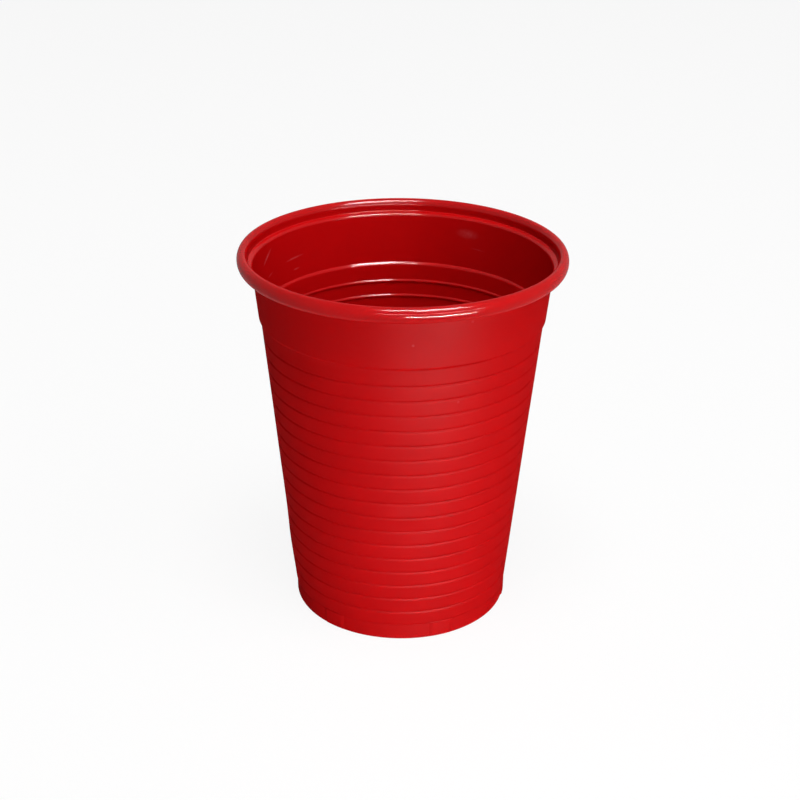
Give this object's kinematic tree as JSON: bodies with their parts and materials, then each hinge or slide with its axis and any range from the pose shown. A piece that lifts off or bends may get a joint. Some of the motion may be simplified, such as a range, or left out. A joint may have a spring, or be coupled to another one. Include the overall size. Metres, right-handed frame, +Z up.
{
  "type": "disposable rinse cup",
  "caption": "Thin-walled tapered plastic cup, open at the top, with a rolled rim, an inner stacking ledge, ring grooves down the body and a stepped foot ring.",
  "frame": {"origin": "centre of the foot ring, on the surface that the cup stands on", "axes": "+Z up along the cup's axis, from the foot to the mouth; X and Y level"},
  "size_m": [0.0702, 0.0702, 0.0825],
  "materials": {
    "cup_plastic": "opaque red thermoformed plastic, satin gloss"
  },
  "bodies": {
    "root": {"cup": "cup_plastic"}
  },
  "joints": []
}
